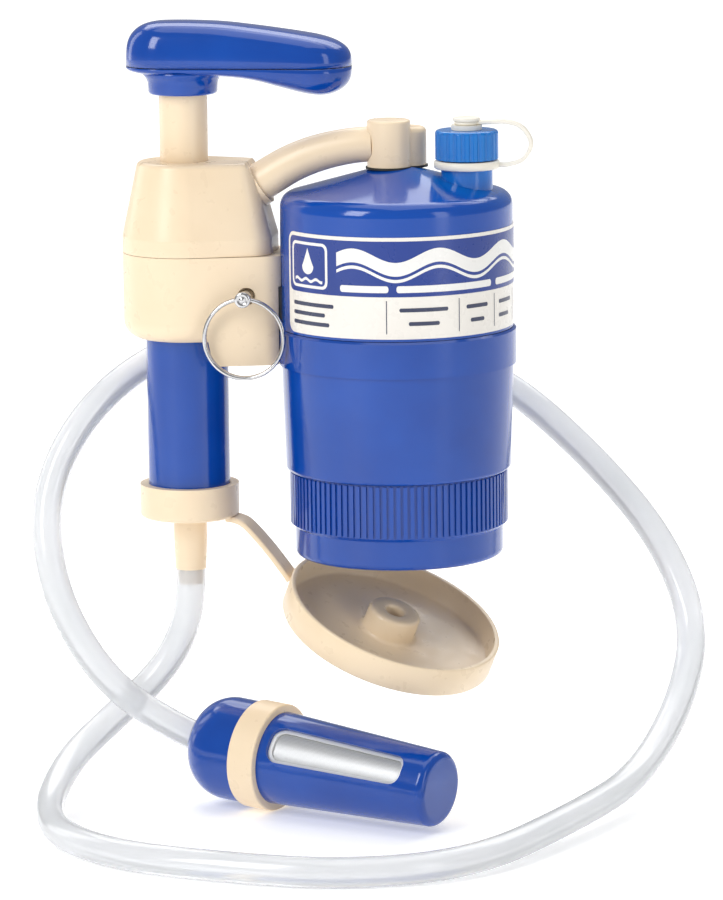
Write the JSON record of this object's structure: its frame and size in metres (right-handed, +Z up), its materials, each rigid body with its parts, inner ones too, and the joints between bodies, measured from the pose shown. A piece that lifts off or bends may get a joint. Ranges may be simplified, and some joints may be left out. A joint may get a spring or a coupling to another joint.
{
  "type": "pump water filter",
  "caption": "Hand-pumped camping water filter: canister with bottle adapter, side pump with grip, transfer pipe, capped spout, tethered base cap, hose and prefilter.",
  "frame": {"origin": "centre of the bottle socket's mouth, at the canister's bottom face", "axes": "+Z up along the canister's axis, +X from the pump to the canister, -Y towards the side with the release pin's head"},
  "size_m": [0.2565, 0.23, 0.2998],
  "materials": {
    "blue_plastic": "high-gloss moulded plastic",
    "cyan_plastic": "gloss moulded plastic",
    "beige_plastic": "satin moulded plastic",
    "cream_plastic": "soft satin plastic",
    "black_plastic": "matte",
    "black_rubber": "matte",
    "steel": "polished",
    "screen_mesh": "woven wire",
    "clear_vinyl": "translucent",
    "carbon": "pressed carbon block",
    "label_film": "printed film",
    "white_plastic": "satin"
  },
  "bodies": {
    "root": {"canister_top_shell": "blue_plastic", "canister_bottom_shell": "blue_plastic", "bottle_adapter": "blue_plastic", "pump_barrel": "blue_plastic", "prefilter_dome": "blue_plastic", "prefilter_cage": "blue_plastic", "pump_head": "beige_plastic", "pump_bracket": "beige_plastic", "inlet_fitting": "beige_plastic", "transfer_pipe": "beige_plastic", "elbow_body": "beige_plastic", "elbow_cap": "beige_plastic", "prefilter_band": "beige_plastic", "cap_leash": "cream_plastic", "mount_rail": "black_plastic", "shell_gasket": "black_rubber", "bottle_gasket": "black_rubber", "elbow_gasket": "black_rubber", "rod_seal": "black_rubber", "inlet_valve": "black_rubber", "housing_screws": "steel", "prefilter_screen": "screen_mesh", "intake_hose": "clear_vinyl", "filter_core": "carbon", "canister_label": "label_film", "prefilter_liner": "white_plastic", "core_bottom_cap": "white_plastic", "core_top_cap": "white_plastic", "outlet_nipple": "white_plastic"},
    "piston": {"piston": "black_plastic", "piston_seal": "black_rubber", "outlet_valve": "black_rubber"},
    "rod": {"pump_rod": "beige_plastic", "piston_clip": "steel", "handle_top_shell": "blue_plastic", "handle_bottom_shell": "blue_plastic", "handle_screw": "steel"},
    "pin": {"release_pin": "steel"},
    "ring": {"pull_ring": "steel"},
    "leash_head": {"leash_eyelet": "cream_plastic", "leash_rivet": "cream_plastic"},
    "cap": {"spout_cap": "cyan_plastic", "cap_liner": "black_rubber"},
    "tether": {"tether_ring": "beige_plastic", "tether_strap": "beige_plastic"},
    "dust_cap": {"base_cap": "beige_plastic"}
  },
  "joints": [
    {"name": "pump_stroke", "type": "slide", "parent": "root", "child": "piston", "axis": [0, 0, 1], "range_m": [-0.012, 0.045]},
    {"name": "handle_turn", "type": "hinge", "parent": "piston", "child": "rod", "pos_m": [-0.0818, 0, 0.05], "axis": [0, 0, 1], "continuous": true},
    {"name": "pin_pull", "type": "slide", "parent": "root", "child": "pin", "axis": [0, -1, 0], "range_m": [0, 0.022]},
    {"name": "ring_swing", "type": "hinge", "parent": "pin", "child": "ring", "pos_m": [-0.0555, -0.0252, 0.1016], "axis": [-1, 0, 0], "range_deg": [0, 150]},
    {"name": "cap_lift", "type": "slide", "parent": "root", "child": "leash_head", "axis": [0, 0, 1], "range_m": [0, 0.0081], "deforming": ["cap_leash"]},
    {"name": "cap_turn", "type": "hinge", "parent": "leash_head", "child": "cap", "pos_m": [0.0275, -0.002, 0.158], "axis": [0, 0, 1], "range_deg": [0, 720]},
    {"name": "tether_swivel", "type": "hinge", "parent": "root", "child": "tether", "pos_m": [-0.0818, 0, 0.02], "axis": [0, 0, 1], "range_deg": [-40, 90]},
    {"name": "base_cap_flex", "type": "hinge", "parent": "tether", "child": "dust_cap", "pos_m": [-0.0415, -0.005, -0.0075], "axis": [-0.0976, -0.9952, 0], "range_deg": [-8, 14], "stiffness_Nm_per_rad": 0.15, "springref_deg": 3.29}
  ],
  "couplings": [
    {"joint": "cap_lift", "follows": "cap_turn", "m_per_rad": 0.00063662}
  ]
}
